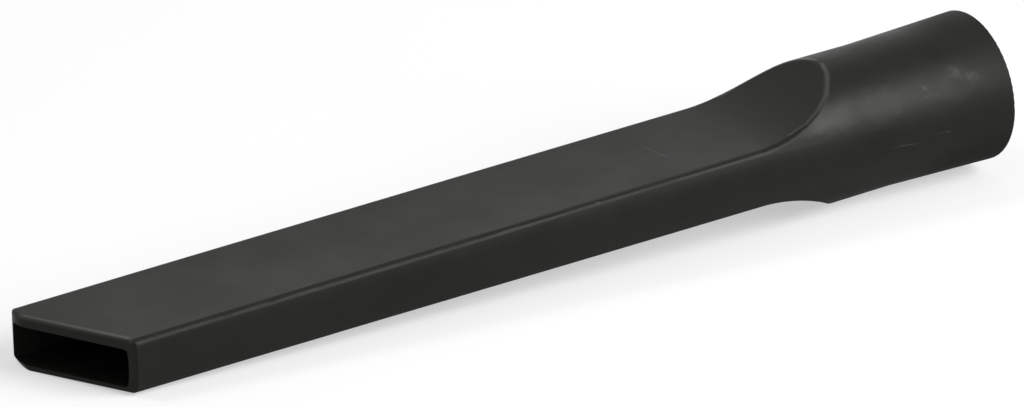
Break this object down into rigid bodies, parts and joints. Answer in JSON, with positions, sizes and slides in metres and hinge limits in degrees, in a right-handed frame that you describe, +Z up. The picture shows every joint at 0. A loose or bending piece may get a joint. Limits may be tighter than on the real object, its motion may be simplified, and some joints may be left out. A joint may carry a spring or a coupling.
{
  "type": "vacuum crevice tool",
  "caption": "One-piece hollow plastic crevice nozzle: a round push-on collar scooped into a long flat duct with a slanted open mouth, for cleaning narrow gaps.",
  "frame": {"origin": "middle of the tool's box, on the surface that the tool lies on", "axes": "+X along the tool from its mouth to its collar, +Y to the longer side of the slanted mouth, +Z up as the tool lies on its tip and the inner end of its collar"},
  "size_m": [0.2582, 0.036, 0.0375],
  "materials": {
    "black_plastic": "fine-grained moulded matte"
  },
  "bodies": {
    "root": {"crevice_tool": "black_plastic"}
  },
  "joints": []
}
